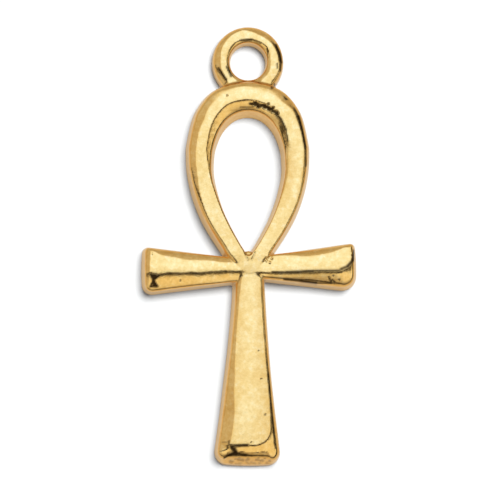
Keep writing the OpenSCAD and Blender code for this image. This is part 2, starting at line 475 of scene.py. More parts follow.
CREASES_RIGHT = np.array([
    # the same columns
    [0.00, 0.75, 5, 20, 0.11, 0, 11],
    [0.06, 0.56, 5, 20, 0.12, 0, 11],
    [0.11, 0.42, 5, 20, 0.17, 0, 13],
    [0.16, 0.60, 4, 17, 0.27, 0, 18],
    [0.21, 0.58, 4, 17, 0.32, 0, 18],
    [0.25, 0.60, 4, 17, 0.36, 0, 19],
    [0.29, 0.66, 4, 15, 0.40, 0, 19],
    [0.37, 0.60, 3, 11, 0.60, 5, 19],
    [0.45, 0.52, 2, 10, 0.72, 8, 19],
    [0.53, 0.52, 2, 8, 0.80, 10, 19],
    [0.66, 0.56, 0, 6, 0.90, 8, 19],
    [0.78, 0.70, 0, 5, 0.98, 4, 19],
    [0.88, 0.95, 0, 4, 1.05, 2, 19],
    [0.95, 1.10, 0, 3, 1.10, 2, 19],
    [1.02, 1.20, 0, 3, 1.20, 0, 19],
])


def down_loop(down, column, rightness):
    on_left = np.interp(down, CREASES_LEFT[:, 0], CREASES_LEFT[:, column])
    on_right = np.interp(down, CREASES_RIGHT[:, 0], CREASES_RIGHT[:, column])
    return on_left + (on_right - on_left) * rightness


print("the creases are given at", len(CREASES_LEFT), "heights on each side")

# %% [markdown]
# ## The loop
#
# A curve with a bevel profile would give one section all the way round, and this band changes
# from place to place. So the section is the same kind as a bar's, but its creases come from
# the tables. Low on the left the inner wall is steeper, and low on the right the shoulder is
# tighter.

# %% The teardrop loop
def loop_front(x, y, share, inside, down, rightness):
    outer = down_loop(down, 1, rightness) + 0.03 * ripple(x, y, 1.5, 44)
    inner = down_loop(down, 4, rightness) + 0.03 * ripple(x, y, 1.5, 45)
    outer_tilt, inner_tilt = down_loop(down, 2, rightness), down_loop(down, 5, rightness)
    outer_last, inner_last = down_loop(down, 3, rightness), down_loop(down, 6, rightness)
    inner_crease = 0.05 + 0.11 * rightness * np.clip((down - 0.32) / 0.08, 0, 1)
    outer_facets = [(0.05, outer_tilt, 0.3), (outer, outer_last - outer_tilt, 0.05)]
    inner_facets = [(0.0, inner_tilt, 0.25), (inner, inner_last - inner_tilt, inner_crease)]
    sunk = 0.03 * np.clip((down - 0.60) / 0.3, 0, 1) + 0.04 * np.clip((down - 0.93) / 0.08, 0, 1.6)
    fall = facet_fall(-share, inside, outer_facets) + facet_fall(share, inside, inner_facets)
    return loop_t - sunk - fall + 0.004 * ripple(x, y, 1.6, 43)


def teardrop_loop(x, y, z):
    from_outer = distance_inside(x, y, outer_edge) + 0.010 * ripple(x, y, 2.8, 41)
    from_inner = -distance_inside(x, y, inner_edge) + 0.008 * ripple(x, y, 2.4, 42)
    inside = np.maximum(np.maximum(from_outer + from_inner, 0.5) / 2 - wall_w, 0.15)
    share = (from_outer - from_inner) / 2 / inside
    down = (loop_top_y - y) / loop_h
    rightness = 0.5 + 0.5 * np.tanh((x - axis_x) / 0.6)
    under_top = np.clip((0.36 - down) / 0.14, 0, 1)
    low_left = np.clip((down - 0.55) / 0.2, 0, 1) * (1 - rightness)
    low_right = np.clip((down - 0.5) / 0.15, 0, 1) * rightness
    rim = soft_min(from_outer, from_inner * (1 - 0.35 * under_top + 1.2 * low_left), 0.05)
    shoulder = 0.28 - 0.08 * np.tanh(share / 0.3) - 0.12 * low_right
    return bar_metal(z, rim, loop_front(x, y, share, inside, down, rightness), loop_lean, shoulder)


print("the loop is", loop_w, "mm wide and", loop_h, "mm tall to the crossing")

# %% [markdown]
# ## The throat of the loop
#
# Where the two legs of the loop meet, the point of the opening is too narrow for the mould,
# and metal stays in it. The outline could be changed instead, but a small round pad between
# the legs is what the mould leaves, and it makes the same blunt point.

# %% A pad between the legs
throat_y, throat_r, throat_t, throat_fall = crossing_y + 0.80, 0.54, 2.06, 0.14


def throat(x, y, z):
    from_edge = throat_r - np.hypot(x - axis_x, y - throat_y)
    height = throat_t - throat_fall * np.clip((y - throat_y) / throat_r, 0, 1)
    return bar_metal(z, from_edge, height, throat_lean, 0.15)


print("the opening ends at y", round(throat_y + throat_r, 2))

# %% [markdown]
# ## The hanging eye
#
# The eye is a small ring of the same stock, thinner than the rest, with a rounder section.
# A torus has one round section, and here the ring has been filed like the loop. Its creases
# wander too, so the table gives them for a few directions around the ring, counted in
# degrees from the right.

# %% The hanging eye
RING = np.array([
    # direction, outer crease, its tilt, inner crease, its tilt
    [2, 0.42, 17, 0.50, 16], [14, 0.38, 17, 0.47, 16], [24, 0.34, 17, 0.40, 18],
    [36, 0.30, 18, 0.36, 18], [52, 0.24, 21, 0.45, 14], [68, 0.20, 22, 0.46, 9],
    [87, 0.45, 22, 0.52, 8], [100, 0.70, 22, 0.53, 9], [112, 0.60, 22, 0.48, 11],
    [128, 0.48, 22, 0.45, 12], [150, 0.34, 22, 0.50, 11], [174, 0.12, 22, 0.52, 11],
    [190, 0.12, 22, 0.60, 13], [212, 0.18, 20, 0.58, 18], [230, 0.32, 16, 0.55, 20],
    [300, 0.60, 16, 0.43, 20], [336, 0.78, 18, 0.44, 20], [350, 0.60, 16, 0.48, 18],
])


def hanging_eye(x, y, z):
    from_centre = np.hypot(x - axis_x, y - eye_y) + 0.008 * ripple(x, y, 2.2, 51)
    turn = np.degrees(np.arctan2(y - eye_y, x - axis_x)) % 360
    outer, outer_tilt, inner, inner_tilt = [
        np.interp(turn, RING[:, 0], RING[:, column], period=360) for column in range(1, 5)
    ]
    half = (eye_od - eye_bore) / 4
    across = from_centre - (eye_od + eye_bore) / 4
    inside = half - wall_w / 2
    share = across / inside
    fall = facet_fall(share, inside, [(0.0, 4, 0.3), (outer, outer_tilt - 4, 0.06)])
    fall = fall + facet_fall(-share, inside, [(0.05, 1, 0.3), (inner, inner_tilt - 1, 0.06)])
    shoulder = 0.34 + 0.08 * np.tanh(share / 0.3)
    return bar_metal(z, half - soft_abs(across), eye_t + 0.03 - fall, eye_lean, shoulder)


print("the ring's creases are given in", len(RING), "directions")

# %% [markdown]
# ## Dents, drops and dark lines
#
# The mould and the file left small faults on this charm, and they are part of its look: drops
# of metal where the mould was chipped, creases in the corners, and pits. The dark lines along
# crests and edges are painted reflections of dark cloth, and the brown in some creases and under
# the right arm's crest is painted shade. A picture laid over the metal could show them, but
# they would stay flat. Here each is a short stroke with a half width, a depth and a darkness.
# The depth goes into the field, so the surface sinks there, or rises where it is negative. The
# darkness is kept for the finish, where it is painted into the colour.
#
# The strokes were placed on the photograph, so they are in its pixels. `on_charm`
# turns them into millimetres and allows for the lean of the camera, because the front of the
# charm stands above the table.

# %% From the photograph to the charm
charm_px, charm_py, stroke_scale, stroke_t = 248.75, 246.35, 13.68, 2.2
lean_left, lean_down = math.radians(2), math.radians(4)


def on_charm(px, py):
    across = (px - charm_px) / stroke_scale - math.tan(lean_left) * stroke_t
    return across, (charm_py - py) / stroke_scale - math.tan(lean_down) * stroke_t


print("the middle of the photograph lies at", [round(v, 2) for v in on_charm(250, 250)], "mm")

# %% Places of the faults and the painted dark lines
STROKES = [
    # from and to on the photograph in pixels, half width in mm, depth in mm, darkness
    # creases in the throat and beside the shaft, with painted brown shade in them
    (245.0, 252.3, 248.0, 260.5, 0.07, 0.02, 0.22), (254.8, 252.5, 251.8, 260.0, 0.07, 0.02, 0.18),
    (236.5, 284.0, 242.0, 276.0, 0.06, 0.01, 0.2), (262.5, 275.5, 268.5, 284.0, 0.06, 0.01, 0.2),
    # drops of metal beside the loop's right leg
    (268.0, 256.5, 268.2, 256.7, 0.10, -0.04, 0.0), (271.4, 258.6, 271.6, 258.8, 0.08, -0.04, 0.0),
    (266.2, 260.4, 266.4, 260.6, 0.09, -0.04, 0.0), (269.6, 262.2, 269.8, 262.4, 0.09, -0.04, 0.0),
    # pits where the eye meets the loop
    (275.0, 84.0, 275.2, 84.2, 0.09, 0.03, 0.9), (271.6, 88.4, 271.8, 88.6, 0.08, 0.03, 0.9),
    # a painted dark reflection along the crease over the foot, and the blot below it
    (231.3, 443.9, 247.4, 443.0, 0.09, 0.00, 0.95),
    (232.2, 444.9, 234.6, 448.4, 0.15, 0.00, 0.97), (234.0, 447.0, 236.2, 451.0, 0.16, 0.00, 0.97),
    (235.6, 450.9, 229.8, 452.4, 0.11, 0.00, 0.97), (229.8, 452.4, 224.6, 455.4, 0.06, 0.00, 0.95),
    (236.6, 451.2, 246.5, 452.6, 0.09, 0.00, 0.95), (246.5, 452.6, 252.0, 453.2, 0.05, 0.00, 0.9),
    (222.5, 440.3, 229.0, 440.0, 0.04, 0.00, 0.4), (229.2, 439.0, 229.2, 442.0, 0.06, 0.00, 0.7),
    # the blot on the tip of the left arm
    (151.8, 274.4, 154.5, 280.0, 0.08, 0.00, 0.97), (160.5, 275.2, 154.9, 279.6, 0.07, 0.00, 0.97),
    (154.0, 275.4, 157.0, 275.8, 0.12, 0.00, 0.97), (154.9, 276.6, 154.9, 278.6, 0.12, 0.00, 0.97),
    (154.6, 280.0, 151.8, 286.2, 0.07, 0.00, 0.97), (154.8, 280.6, 158.6, 286.2, 0.07, 0.00, 0.97),
    (153.6, 285.8, 157.2, 286.0, 0.09, 0.00, 0.97), (154.8, 282.6, 155.1, 284.6, 0.11, 0.00, 0.97),
    # a painted dark reflection along the right edge of the shaft
    (266.3, 355.0, 268.2, 372.0, 0.04, 0.00, 0.7), (268.2, 372.0, 270.6, 402.0, 0.06, 0.00, 0.9),
    (270.6, 402.0, 273.2, 430.0, 0.07, 0.00, 0.9), (273.2, 430.0, 275.0, 446.0, 0.05, 0.00, 0.85),
    # pits on the shaft, the loop and both arms
    (258.5, 350.0, 258.7, 350.0, 0.05, 0.01, 0.35), (261.0, 377.5, 261.3, 377.7, 0.05, 0.01, 0.45),
    (265.0, 413.0, 265.4, 413.4, 0.06, 0.01, 0.5), (251.0, 440.5, 251.3, 440.6, 0.05, 0.01, 0.4),
    (227.3, 96.5, 227.5, 96.6, 0.05, 0.03, 0.7), (181.0, 280.0, 181.2, 280.2, 0.05, 0.02, 0.6),
    (328.0, 277.0, 330.5, 282.0, 0.06, 0.03, 0.9), (331.5, 279.5, 334.0, 282.5, 0.05, 0.03, 0.9),
    (332.3, 275.0, 332.5, 275.3, 0.05, 0.03, 0.9), (338.3, 279.2, 338.5, 279.4, 0.05, 0.03, 0.9),
    # painted dark reflections on the eye, on its left and over its hole
    (227.0, 66.5, 231.5, 76.5, 0.06, 0.00, 0.95), (219.0, 68.5, 226.5, 79.5, 0.07, 0.00, 0.97),
    (241.0, 40.3, 252.0, 39.6, 0.07, 0.00, 0.9), (252.0, 39.6, 261.0, 43.4, 0.05, 0.00, 0.6),
    # painted dark reflections on the crest of the right arm, its lower edge and its end, and painted shade
    # on its lower face
    (272.0, 272.1, 287.0, 272.3, 0.07, 0.00, 0.9), (286.0, 272.2, 298.0, 271.7, 0.10, 0.00, 0.9),
    (296.0, 271.8, 312.0, 270.8, 0.09, 0.00, 0.9), (312.0, 270.4, 338.0, 270.2, 0.07, 0.00, 0.9),
    (284.0, 278.8, 300.0, 280.4, 0.07, 0.00, 0.9), (300.0, 280.4, 316.0, 282.2, 0.08, 0.00, 0.95),
    (316.0, 282.4, 331.0, 282.6, 0.05, 0.00, 0.8), (300.0, 274.0, 334.0, 274.6, 0.16, 0.00, 0.25),
    (272.0, 276.4, 300.0, 276.8, 0.20, 0.00, 0.16), (340.0, 268.8, 346.5, 266.0, 0.09, 0.00, 0.8),
    (346.5, 266.0, 351.5, 260.5, 0.10, 0.00, 0.9), (351.8, 260.5, 353.0, 250.0, 0.09, 0.00, 0.95),
    # painted dark reflections at the top and the right of the loop's opening
    (250.0, 104.5, 258.0, 106.0, 0.09, 0.01, 0.95), (258.0, 105.0, 267.0, 108.5, 0.09, 0.01, 0.95),
    (267.0, 107.5, 274.0, 112.5, 0.09, 0.01, 0.95), (274.0, 112.5, 281.0, 120.5, 0.08, 0.00, 0.95),
    (281.0, 120.5, 285.5, 130.5, 0.07, 0.00, 0.95), (285.5, 130.5, 287.5, 142.0, 0.05, 0.00, 0.9),
    (240.0, 108.3, 253.0, 107.8, 0.05, 0.00, 0.6),
    # a painted dark reflection on the right of the eye
    (276.0, 45.0, 279.6, 53.0, 0.09, 0.00, 0.95), (279.6, 53.0, 281.2, 62.0, 0.10, 0.00, 0.95),
    (281.2, 62.0, 280.6, 70.5, 0.06, 0.00, 0.9), (277.2, 63.5, 277.4, 67.5, 0.05, 0.00, 0.8),
    # a painted dark reflection on the loop's outer right
    (293.5, 108.5, 298.0, 117.0, 0.05, 0.00, 0.8), (298.0, 117.0, 301.5, 130.0, 0.09, 0.00, 0.95),
    (301.5, 130.0, 304.8, 148.0, 0.08, 0.00, 0.95), (304.8, 148.0, 305.4, 166.0, 0.06, 0.00, 0.85),
]
print(len(STROKES), "strokes placed one by one")

# %% [markdown]
# ## Rough patches
#
# In two places the mould was rough: inside the top of the loop, and on the end of the foot.
# Such grain has no places worth writing down one by one. Short strokes are strewn along a
# line instead, from a seeded generator, so that they fall the same way on every run.

# %% Strew the rough patches
PATCHES = [
    # from and to in pixels, spread in pixels, how many, darkness, seed, depth to half width
    (252, 104.8, 267, 107.0, 2.6, 20, 0.95, 83, 0.5),
    (264, 106.5, 277, 113, 2.3, 16, 0.95, 84, 0.5),
    (229, 457.6, 270, 457.0, 1.5, 22, 0.46, 73, 0.05),
    (229, 461.0, 271, 460.6, 1.5, 22, 0.32, 74, 0.05),
]


def strewn(from_px, from_py, to_px, to_py, spread, count, darkness, seed, deep):
    chance = np.random.default_rng(seed)
    strokes = []
    for _ in range(count):
        share = chance.uniform(0, 1)
        px = from_px + (to_px - from_px) * share + chance.uniform(-spread, spread)
        py = from_py + (to_py - from_py) * share + chance.uniform(-spread, spread)
        half_width = chance.uniform(0.04, 0.09)
        end_px, end_py = px + chance.uniform(-1, 1), py + chance.uniform(-0.6, 0.6)
        strokes.append((px, py, end_px, end_py, half_width, deep * half_width, darkness))
    return strokes


for patch in PATCHES:
    STROKES += strewn(*patch)
print(len(STROKES), "faults, the deepest", max(row[5] for row in STROKES), "mm")

# %% How deep and how dark a place is
def faults_and_painted_dark_at(x, y):
    sink, dark = 0 * (x + y), 0 * (x + y)
    for from_px, from_py, to_px, to_py, half_width, depth, darkness in STROKES:
        start_x, start_y = on_charm(from_px, from_py)
        end_x, end_y = on_charm(to_px, to_py)
        run_x, run_y = end_x - start_x, end_y - start_y
        t = np.clip(((x - start_x) * run_x + (y - start_y) * run_y) / math.hypot(run_x, run_y) ** 2, 0, 1)
        away = np.hypot(x - start_x - t * run_x, y - start_y - t * run_y)
        near = np.exp(-(away / half_width) ** 2)
        sink = sink + depth * near
        # darkness of the pits and of the painted reflection lines and painted shade
        dark = np.maximum(dark, darkness * np.minimum(1.7 * near, 1))
    return sink, dark


drop_x, drop_y = on_charm(268.1, 256.6)
print("the largest drop stands up", round(-float(faults_and_painted_dark_at(drop_x, drop_y)[0]), 3), "mm")

# %% [markdown]
# ## All of it as one piece of metal
#
# The forms are joined one after another with a soft join. It is mostly narrower near the
# front, where the file has cleaned the corners. The flat back cuts them all at once.
# Each join also tells how deep the hollow is at that place, which the finish uses later for
# a line of painted shade in the corners.

# %% Join the forms
def casting(x, y, z):
    joins = [
        # a form, how wide it joins near the table, how wide near the front
        (flared_bar(x, y, z, left_arm), 0.30, 0.07),
        (flared_bar(x, y, z, right_arm), 0.30, 0.07),
        (teardrop_loop(x, y, z), 0.16, 0.07),
        (hanging_eye(x, y, z), 0.35, 0.30),
        (throat(x, y, z), 0.10, 0.10),
    ]
    joined = flared_bar(x, y, z, shaft)
    hard = joined
    near_front = np.clip((z - 1.5) / 0.5, 0, 1)
    for form, width, front_width in joins:
        hard = np.minimum(hard, form)
        joined = soft_min(joined, form, width + (front_width - width) * near_front)
    hollow = hard - joined
    joined = joined + faults_and_painted_dark_at(x, y)[0] * np.clip((z - 0.7) / 0.4, 0, 1)
    return soft_max(joined, -z, 0.10), hollow


probe = casting(np.array([axis_x]), np.array([crossing_y - 8.0]), np.array([1.0]))
print("field in the middle of the shaft:", round(float(probe[0][0]), 2), "mm")

# %% [markdown]
# ## From the field to a mesh
#
# A grid of points is laid over the charm. Wherever the field changes sign along a grid line,
# the surface crosses that line. A voxel remesh would do the same with less control: it
# needs a mesh to start from, and it knows nothing of the field's exact slope.

# %% Where the surface crosses the grid lines
def neighbours(values, axis):
    first, second = [slice(None)] * 3, [slice(None)] * 3
    first[axis], second[axis] = slice(0, -1), slice(1, None)
    return values[tuple(first)], values[tuple(second)]


def crossing_places(values, axes, axis):
    a, b = neighbours(values, axis)
    change = (a < 0) != (b < 0)
    share = np.where(change, a / np.where(change, a - b, 1), 0)
    places = []
    for other in range(3):
        line = axes[other][:-1] if other == axis else axes[other]
        shape = [1, 1, 1]
        shape[other] = len(line)
        place = line.reshape(shape) + np.zeros(change.shape)
        if other == axis:
            place = place + share * (axes[axis][1] - axes[axis][0])
        places.append(np.where(change, place, 0))
    return change, places


one_line = [np.zeros(1), np.zeros(1), np.array([0.0, 1.0])]
one_place = crossing_places(np.array([[[-1.0, 3.0]]]), one_line, 2)[1][2]
print("a field from -1 to 3 crosses its grid line at", one_place.item())

# %% [markdown]
# ## Vertices and quads
#
# Each cell that the surface passes gets one vertex, in the middle of the crossings on its
# edges. Around each crossed grid line lie four such cells, and their vertices make a quad.
# The quads are even and follow the form, so reflections run smoothly over them.

# %% One vertex in each crossed cell
def cell_vertices(values, axes):
    cell_shape = tuple(n - 1 for n in values.shape)
    total, count = [np.zeros(cell_shape) for _ in range(3)], np.zeros(cell_shape)
    for axis in range(3):
        change, places = crossing_places(values, axes, axis)
        sides = [other for other in range(3) if other != axis]
        for i, j in ((0, 0), (0, 1), (1, 0), (1, 1)):
            cut = [slice(None)] * 3
            cut[sides[0]] = slice(i, i + cell_shape[sides[0]])
            cut[sides[1]] = slice(j, j + cell_shape[sides[1]])
            for other in range(3):
                total[other] += places[other][tuple(cut)]
            count += change[tuple(cut)]
    used = count > 0
    number = np.full(cell_shape, -1)
    number[used] = np.arange(int(used.sum()))
    return np.stack([t[used] / count[used] for t in total], 1), number


# %% One quad around each crossed grid line
def cell_quads(values, number):
    quads = []
    for axis in range(3):
        a, b = neighbours(values, axis)
        sides = [other for other in range(3) if other != axis]
        where = np.argwhere((a < 0) != (b < 0))
        keep = np.all([(where[:, s] > 0) & (where[:, s] < number.shape[s]) for s in sides], axis=0)
        where = where[keep]
        around = []
        for i, j in ((-1, -1), (0, -1), (0, 0), (-1, 0)):
            cell = where.copy()
            cell[:, sides[0]] += i
            cell[:, sides[1]] += j
            around.append(number[tuple(cell.T)])
        quad = np.stack(around, 1)
        flip = (a < 0)[tuple(where.T)] != (axis != 1)
        quad[flip] = quad[flip][:, ::-1]
        quads.append(quad)
    return np.concatenate(quads)


ball_axes = [np.linspace(-1.5, 1.5, 9)] * 3
ball = np.sqrt(sum(place**2 for place in np.meshgrid(*ball_axes, indexing="ij"))) - 1
ball_places, ball_number = cell_vertices(ball, ball_axes)
print("a rough ball gets", len(ball_places), "vertices,", len(cell_quads(ball, ball_number)), "quads")

# %% [markdown]
# ## Settling on the surface
#
# Each vertex is moved along the field's slope until it lies exactly on the surface, and the
# slope becomes its normal. So even a modest mesh reflects like polished metal, without the
# flat spots that smoothing a coarse mesh leaves.

# %% Settle the vertices on the surface
def slope_at(points, reach=0.002):
    x, y, z = points.T
    base, ahead = casting(x[:, None], y[:, None], np.stack([z, z + reach], 1))[0].T
    slope = [
        casting(x + reach, y, z)[0] - base,
        casting(x, y + reach, z)[0] - base,
        ahead - base,
    ]
    return base, np.stack(slope, 1) / reach


def settle(points, rounds=3, longest=0.06):
    for _ in range(rounds):
        base, slope = slope_at(points)
        step = base[:, None] * slope / np.maximum((slope**2).sum(1), 0.05)[:, None]
        length = np.linalg.norm(step, axis=1)[:, None]
        points = points - step * np.minimum(1, longest / np.maximum(length, 1e-9))
    base, slope = slope_at(points)
    print("largest miss of a vertex:", round(float(np.abs(base).max()), 4), "mm")
    return points, slope / np.maximum(np.linalg.norm(slope, axis=1), 1e-9)[:, None]


grid = 0.088
margin = 2.3 * grid
axes = [
    np.arange(low / MM - margin, high / MM + margin, grid)
    for low, high in zip(casting_low, casting_high)
]
values = casting(axes[0][:, None, None], axes[1][None, :, None], axes[2][None, None, :])[0]
points, number = cell_vertices(values, axes)
quads = cell_quads(values, number)
points, normals = settle(points)
print("vertices", len(points), "triangles", 2 * len(quads))

# %% [markdown]
# ## The casting in Blender
#
# `foreach_set` fills a mesh from whole arrays at once, which is far quicker than adding faces
# one by one. The normals go in as custom normals. Two more numbers stay with each vertex as
# attributes, for the finish: how deep it lies in a hollow, for a painted corner shade, and how
# dark it is painted, for its pits and the painted reflections and shade of the strokes.

# %% Make the casting
mesh = bpy.data.meshes.new("ankh_front")
mesh.vertices.add(len(points))
mesh.vertices.foreach_set("co", (points * MM).ravel())
mesh.loops.add(4 * len(quads))
mesh.loops.foreach_set("vertex_index", quads.ravel())
mesh.polygons.add(len(quads))
mesh.polygons.foreach_set("loop_start", np.arange(0, 4 * len(quads), 4))
mesh.update(calc_edges=True)
mesh.validate()
mesh.shade_smooth()
mesh.normals_split_custom_set_from_vertices(normals.tolist())

full_hollow = 0.04
hollow_layer = mesh.attributes.new("hollow", "FLOAT", "POINT")
hollow_layer.data.foreach_set("value", np.clip(casting(*points.T)[1] / full_hollow, 0, 1))
# how dark each vertex is painted: pits, painted reflection lines and painted shade
dark_layer = mesh.attributes.new("pits_and_painted_dark", "FLOAT", "POINT")
dark_layer.data.foreach_set("value", faults_and_painted_dark_at(points[:, 0], points[:, 1])[1])

ankh = bpy.data.objects.new("ankh_gold_casting", mesh)
bpy.context.collection.objects.link(ankh)
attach(ankh, "root")
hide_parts("ankh_casting")
print("the casting has", len(mesh.polygons), "faces")

# %% [markdown]
# ## Writing shader maths like arithmetic
#
# A material is a net of nodes, and a formula in it soon becomes a tangle. `Value` wraps one
# socket, so that `1 - mask * 0.5` adds the Math nodes by itself. `Finish.node` makes every
# other node from its type, its settings and what goes into its sockets.

# %% A value that can be added and multiplied
class Value:
    def __init__(self, finish, socket):
        self.finish = finish
        self.socket = socket

    def math(self, operation, *others, swap=False):
        terms = [self, *others]
        if swap:
            terms = terms[::-1]
        return self.finish.node("ShaderNodeMath", {"operation": operation}, dict(enumerate(terms)))

    def __add__(self, other):
        return self.math("ADD", other)

    __radd__ = __add__

    def __mul__(self, other):
        return self.math("MULTIPLY", other)

    __rmul__ = __mul__

    def __sub__(self, other):
        return self.math("SUBTRACT", other)

    def __rsub__(self, other):
        return self.math("SUBTRACT", other, swap=True)

    def __truediv__(self, other):
        return self.math("DIVIDE", other)


# %% One method for every other node
class Finish:
    def __init__(self, tree):
        self.tree = tree
        tree.nodes.clear()

    def node(self, kind, settings=None, sockets=None, out=0):
        made = self.tree.nodes.new(kind)
        for name, setting in (settings or {}).items():
            setattr(made, name, setting)
        for name, value in (sockets or {}).items():
            if isinstance(value, Value):
                self.tree.links.new(value.socket, made.inputs[name])
            else:
                made.inputs[name].default_value = value
        return Value(self, made.outputs[out]) if made.outputs else None

    def step(self, value, start, stop):
        sockets = {"Value": value, "From Min": start, "From Max": stop}
        return self.node("ShaderNodeMapRange", {"interpolation_type": "SMOOTHSTEP"}, sockets)

    def blend(self, share, first, second):
        return self.node("ShaderNodeMix", {"data_type": "RGBA"}, {0: share, 6: first, 7: second}, out=2)


print("finish helper ready")

# %% [markdown]
# ## The gold plate
# Plated metal takes its colour from the metal itself: gold reflects red best and blue least.
# The surface is bright but not a perfect mirror. Clouds and a mottle of deeper and paler gold
# keep it from looking like plastic, and a fine orange-peel skin, a bump of a fiftieth of a
# millimetre, breaks the reflections a little. The corners hold a trace of painted brown shade.
# The dark strokes, painted reflections and painted shade along with the darkened pits, are
# nearly black, and only high on the metal, because they were placed on its front.

# %% What the gold is made from
gold = bpy.data.materials.new("gold_plate")
gold.use_nodes = True
f = Finish(gold.node_tree)
in_mm = f.node("ShaderNodeVectorMath", {"operation": "SCALE"}, {
    0: f.node("ShaderNodeTexCoord", out="Object"), "Scale": 1 / MM,
})


def grain(scale, detail, roughness):
    sockets = {"Vector": in_mm, "Scale": scale, "Detail": detail, "Roughness": roughness}
    return f.node("ShaderNodeTexNoise", None, sockets)


cloud, mottle = grain(0.55, 3.0, 0.5), grain(2.8, 4.0, 0.62)
peel, skin, speck = grain(2.6, 2.0, 0.45), grain(7.5, 2.0, 0.5), grain(6.0, 4.0, 0.7)
# the painted corner shade and the painted darkness of the strokes come from the mesh
hollow_here = f.node("ShaderNodeAttribute", {"attribute_name": "hollow"}, out="Fac")
pits_and_painted_dark = f.node("ShaderNodeAttribute", {"attribute_name": "pits_and_painted_dark"}, out="Fac")
above_table = f.node("ShaderNodeSeparateXYZ", None, {0: in_mm}, out="Z")
dark_here = pits_and_painted_dark * f.step(above_table, 0.4, 0.9)
print("gold plate has", len(gold.node_tree.nodes), "nodes so far")

# %% Mix the gold
red_gold, yellow_gold = (0.94, 0.60, 0.205, 1), (0.98, 0.67, 0.265, 1)
deep_gold, pale_gold = (0.80, 0.46, 0.12, 1), (1.0, 0.77, 0.40, 1)
# painted light: the shade in the corners, and the dark reflection lines together with the pits
painted_corner_shade, painted_dark_and_pit_black = (0.50, 0.26, 0.07, 1), (0.025, 0.012, 0.005, 1)

colour = f.blend(f.step(cloud, 0.3, 0.7), red_gold, yellow_gold)
colour = f.blend(f.step(mottle, 0.60, 0.30) * 0.5, colour, deep_gold)
colour = f.blend(f.step(mottle, 0.52, 0.72) * 0.5, colour, pale_gold)
# painted shade: the hollows of the joins turn brown
colour = f.blend(hollow_here * 0.55, colour, painted_corner_shade)
# painted reflections and painted shade of the dark strokes, and the darkened pits
colour = f.blend(dark_here, colour, painted_dark_and_pit_black)
roughness = 0.10 + 0.06 * f.step(peel, 0.3, 0.75) + 0.2 * dark_here
orange_peel = f.node("ShaderNodeBump", None, {
    "Strength": 0.55, "Distance": 0.02 * MM, "Height": peel * 0.32 + skin * 0.16 + speck * 0.25,
})
gold_surface = f.node("ShaderNodeBsdfPrincipled", None, {
    "Base Color": colour, "Roughness": roughness, "Metallic": 1.0, "Normal": orange_peel,
})
f.node("ShaderNodeOutputMaterial", None, {"Surface": gold_surface})
mesh.materials.append(gold)
print("gold plate uses", len(gold.node_tree.nodes), "nodes")

# %% [markdown]
# ## A white table
#
# Small charms are photographed on white card, and the card is lifted to paper white when the
# picture is finished. The metal still mirrors the card as it was, a soft warm grey. So a mix
# shader gives the card one face for the camera and another for every other ray. The table
# lies a hair below the charm's flat back, so that the two surfaces don't fight.

# %% Lay the table
half_table, hair = 1.5, 0.02 * MM
table_mesh = bpy.data.meshes.new("white_table")
table_corners = [(x * half_table, y * half_table, -hair) for x, y in ((-1, -1), (1, -1), (1, 1), (-1, 1))]
table_mesh.from_pydata(table_corners, [], [(0, 1, 2, 3)])
table = bpy.data.objects.new("white_table", table_mesh)
bpy.context.collection.objects.link(table)
print("table is", 2 * half_table, "m wide")

# %% Two faces of the card
white = bpy.data.materials.new("white_table")
white.use_nodes = True
card = Finish(white.node_tree)


def card_face(base, glow_colour, glow_strength):
    return card.node("ShaderNodeBsdfPrincipled", None, {
        "Base Color": base, "Roughness": 1.0, "Specular IOR Level": 0.0,
        "Emission Color": glow_colour, "Emission Strength": glow_strength,
    })


mirrored = card_face((0.15, 0.13, 0.10, 1), (1.0, 0.84, 0.62, 1), 0.39)
printed = card_face((0.42, 0.43, 0.44, 1), (1.0, 1.0, 1.0, 1), 0.02)
to_camera = card.node("ShaderNodeLightPath", out="Is Camera Ray")
both_faces = card.node("ShaderNodeMixShader", None, {0: to_camera, 1: mirrored, 2: printed})
card.node("ShaderNodeOutputMaterial", None, {"Surface": both_faces})
table_mesh.materials.append(white)
print("the card uses", len(white.node_tree.nodes), "nodes")

# %% [markdown]
# ## The light tent
#
# What polished gold looks like is mostly what stands around it. Lamps and sheets could be
# set up around the charm, but a world that is drawn in angles is quicker to adjust. It is
# written as degrees from straight overhead: `right` and `up` as the picture shows them. Each
# edge is a pair, where the cloth starts to fade in and where it is full.
#
# - a large soft box above and slightly behind the charm, brightest in its heart
# - a narrow dark slit along the box's right and lower edges, with a rounded corner; it draws
#   the thin dark line along each crest
# - paler cloth beyond the slit, and dim cloth on the left and behind
# - darkness on the right and in front, except close to the horizon, so that the charm still
#   looks golden from behind

# %% Angles in the tent
tent = bpy.data.worlds.new("light_tent")
bpy.context.scene.world = tent
tent.use_nodes = True
w = Finish(tent.node_tree)
direction = w.node("ShaderNodeTexCoord", out="Generated")
dx, dy, dz = [w.node("ShaderNodeSeparateXYZ", None, {0: direction}, out=axis) for axis in "XYZ"]
degrees = 180 / math.pi
right = dx.math("ARCTAN2", dz) * degrees
up = dy.math("ARCTAN2", dz) * degrees


def round_patch(at_right, at_up, radius, soft):
    off_right, off_up = (right - at_right) / radius, (up - at_up) / radius
    return w.step((off_right * off_right + off_up * off_up).math("SQRT"), 1 + soft, 1 - soft)


print("straight overhead is 0 right, 0 up")

# %% The slit
slit_right, slit_up, slit_half, slit_round = 34, -8.5, 5.5, 10
past_right = right - slit_right
past_down = slit_up - up
bend_right = (past_right + slit_round).math("MAXIMUM", 0.0)
bend_down = (past_down + slit_round).math("MAXIMUM", 0.0)
bend = (bend_right * bend_right + bend_down * bend_down).math("SQRT")
straight = (past_right.math("MAXIMUM", past_down) + slit_round).math("MINIMUM", 0.0)
past_slit = bend + straight - slit_round
print("the slit is", 2 * slit_half, "degrees wide")

